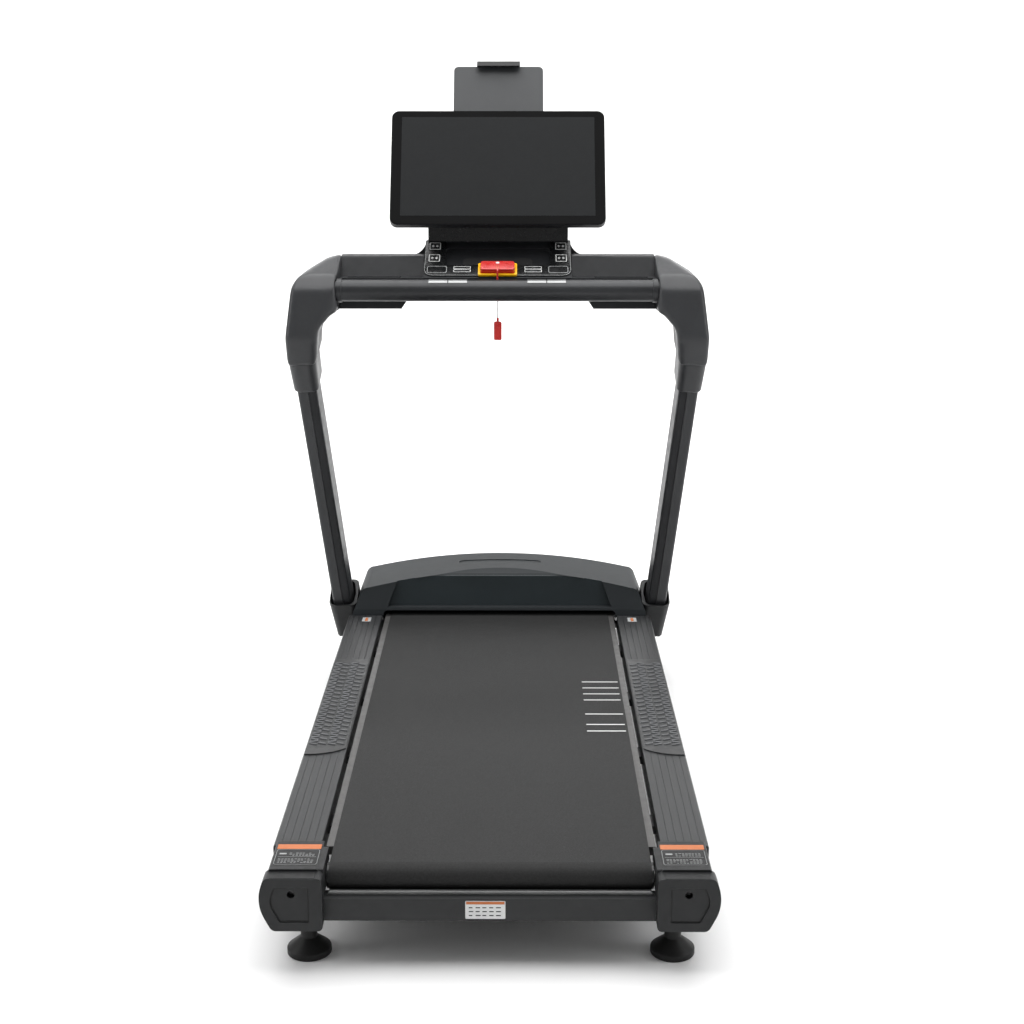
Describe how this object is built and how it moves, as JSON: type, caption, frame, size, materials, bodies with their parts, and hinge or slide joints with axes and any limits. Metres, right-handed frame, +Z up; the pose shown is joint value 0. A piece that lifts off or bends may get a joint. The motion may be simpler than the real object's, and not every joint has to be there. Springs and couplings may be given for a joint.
{
  "type": "treadmill",
  "caption": "Motorised treadmill with running belt, side rails, motor hood, leaning uprights, handrail console, tilted display, safety key and powered incline.",
  "frame": {"origin": "on the floor under the middle of the machine", "axes": "+X to the runner's right, +Y forward to the motor hood, +Z up"},
  "size_m": [0.9438, 1.88, 1.5269],
  "materials": {
    "frame_paint": "satin black powder coat",
    "upright_paint": "satin dark grey powder coat",
    "deck_wood": "pale phenolic-faced fibreboard",
    "cushion_rubber": "matte",
    "belt_fabric": "fine woven texture, matte",
    "rail_metal": "dark brushed anodise",
    "bright_metal": "brushed",
    "steel": "machined",
    "grip_rubber": "moulded pattern, matte",
    "cap_plastic": "fine grained",
    "hood_plastic": "satin metallic grey",
    "panel_plastic": "satin blue-black",
    "console_plastic": "fine grained",
    "key_plastic": "semi-gloss",
    "foot_rubber": "matte",
    "motor_paint": "gloss black",
    "glass": "black backed display glass",
    "key_red": "gloss",
    "holder_yellow": "gloss",
    "cord_fabric": "braided",
    "wheel_plastic": "matte"
  },
  "bodies": {
    "frame": {"side_beam_left": "frame_paint", "side_beam_right": "frame_paint", "crossmembers": "frame_paint", "rear_crossbar": "frame_paint", "guard_strip": "bright_metal", "deck_board": "deck_wood", "deck_cushions": "cushion_rubber", "running_belt": "belt_fabric", "side_rail_left": "rail_metal", "side_rail_right": "rail_metal", "foot_grips": "grip_rubber", "rear_cap_left": "cap_plastic", "rear_cap_right": "cap_plastic", "motor_hood": "hood_plastic", "hood_panel": "panel_plastic", "belly_pan": "frame_paint", "fixed_axles": "steel", "drive_motor": "motor_paint", "drive_belt": "belt_fabric", "controller_box": "steel", "power_inlet": "console_plastic", "incline_motor": "motor_paint", "upright_left": "upright_paint", "upright_right": "upright_paint", "upright_channels": "console_plastic", "boots": "cap_plastic", "grip_left": "console_plastic", "grip_right": "console_plastic", "grip_collars": "console_plastic", "grip_covers": "console_plastic", "handlebar": "upright_paint", "pulse_plates": "bright_metal", "console_body": "console_plastic", "keypad_panel": "key_plastic", "shelf_mat": "cushion_rubber", "key_holder": "holder_yellow", "monitor_neck": "console_plastic", "monitor_body": "console_plastic", "monitor_glass": "glass", "tablet_plate": "console_plastic"},
    "front_roller": {"front_roller": "steel"},
    "rear_roller": {"rear_roller": "steel"},
    "motor_rotor": {"motor_rotor": "steel"},
    "lift_frame": {"lift_frame": "frame_paint"},
    "lift_wheel_left": {"lift_wheel_left": "wheel_plastic"},
    "lift_wheel_right": {"lift_wheel_right": "wheel_plastic"},
    "incline_screw": {"incline_screw": "steel"},
    "safety_key": {"safety_key": "key_red", "key_cord": "cord_fabric", "key_tag": "key_red"},
    "power_switch": {"power_switch": "key_plastic"},
    "tablet_clip": {"tablet_clip": "key_plastic"},
    "rear_foot_left": {"rear_foot_left": "foot_rubber"},
    "rear_foot_right": {"rear_foot_right": "foot_rubber"},
    "key_left_upper": {"key_left_upper": "key_plastic"},
    "key_left_lower": {"key_left_lower": "key_plastic"},
    "key_right_upper": {"key_right_upper": "key_plastic"},
    "key_right_lower": {"key_right_lower": "key_plastic"},
    "key_left_bar": {"key_left_bar": "key_plastic"},
    "key_right_bar": {"key_right_bar": "key_plastic"}
  },
  "joints": [
    {"name": "motor_spin", "type": "hinge", "parent": "frame", "child": "motor_rotor", "pos_m": [0, 0.774, 0.172], "axis": [1, 0, 0], "continuous": true},
    {"name": "front_roller_spin", "type": "hinge", "parent": "frame", "child": "front_roller", "pos_m": [0, 0.584, 0.15], "axis": [1, 0, 0], "continuous": true},
    {"name": "rear_roller_spin", "type": "hinge", "parent": "frame", "child": "rear_roller", "pos_m": [0, -0.866, 0.15], "axis": [1, 0, 0], "continuous": true},
    {"name": "incline", "type": "hinge", "parent": "frame", "child": "lift_frame", "pos_m": [0, 0.649, 0.102], "axis": [-1, 0, 0], "range_deg": [0, 35]},
    {"name": "incline_screw_slide", "type": "slide", "parent": "frame", "child": "incline_screw", "axis": [0, 1, 0], "range_m": [0, 0.02426]},
    {"name": "lift_wheel_left_spin", "type": "hinge", "parent": "lift_frame", "child": "lift_wheel_left", "pos_m": [-0.193, 0.879, 0.035], "axis": [1, 0, 0], "continuous": true},
    {"name": "lift_wheel_right_spin", "type": "hinge", "parent": "lift_frame", "child": "lift_wheel_right", "pos_m": [0.193, 0.879, 0.035], "axis": [1, 0, 0], "continuous": true},
    {"name": "safety_key_lift", "type": "slide", "parent": "frame", "child": "safety_key", "axis": [0, 0, 1], "range_m": [0, 0.03]},
    {"name": "power_switch_rock", "type": "hinge", "parent": "frame", "child": "power_switch", "pos_m": [0.176, 0.932, 0.1115], "axis": [1, 0, 0], "range_deg": [-8, 8]},
    {"name": "tablet_clip_slide", "type": "slide", "parent": "frame", "child": "tablet_clip", "axis": [0, 0.5, 0.866], "range_m": [0, 0.06], "stiffness_N_per_m": 80, "springref_m": -0.03},
    {"name": "rear_foot_left_screw", "type": "slide", "parent": "frame", "child": "rear_foot_left", "axis": [0, 0, 1], "range_m": [-0.012, 0]},
    {"name": "rear_foot_right_screw", "type": "slide", "parent": "frame", "child": "rear_foot_right", "axis": [0, 0, 1], "range_m": [-0.012, 0]},
    {"name": "key_left_upper_press", "type": "slide", "parent": "frame", "child": "key_left_upper", "axis": [0, 0.4524, -0.8918], "range_m": [0, 0.0015], "stiffness_N_per_m": 400, "springref_m": -0.001},
    {"name": "key_left_lower_press", "type": "slide", "parent": "frame", "child": "key_left_lower", "axis": [0, 0.4524, -0.8918], "range_m": [0, 0.0015], "stiffness_N_per_m": 400, "springref_m": -0.001},
    {"name": "key_right_upper_press", "type": "slide", "parent": "frame", "child": "key_right_upper", "axis": [0, 0.4524, -0.8918], "range_m": [0, 0.0015], "stiffness_N_per_m": 400, "springref_m": -0.001},
    {"name": "key_right_lower_press", "type": "slide", "parent": "frame", "child": "key_right_lower", "axis": [0, 0.4524, -0.8918], "range_m": [0, 0.0015], "stiffness_N_per_m": 400, "springref_m": -0.001},
    {"name": "key_left_bar_press", "type": "slide", "parent": "frame", "child": "key_left_bar", "axis": [0, 0.4524, -0.8918], "range_m": [0, 0.0015], "stiffness_N_per_m": 400, "springref_m": -0.001},
    {"name": "key_right_bar_press", "type": "slide", "parent": "frame", "child": "key_right_bar", "axis": [0, 0.4524, -0.8918], "range_m": [0, 0.0015], "stiffness_N_per_m": 400, "springref_m": -0.001}
  ],
  "couplings": [
    {"joint": "front_roller_spin", "follows": "motor_spin", "ratio": 0.62848},
    {"joint": "rear_roller_spin", "follows": "motor_spin", "ratio": 0.62848},
    {"joint": "incline_screw_slide", "follows": "incline", "m_per_rad": 0.039381}
  ]
}
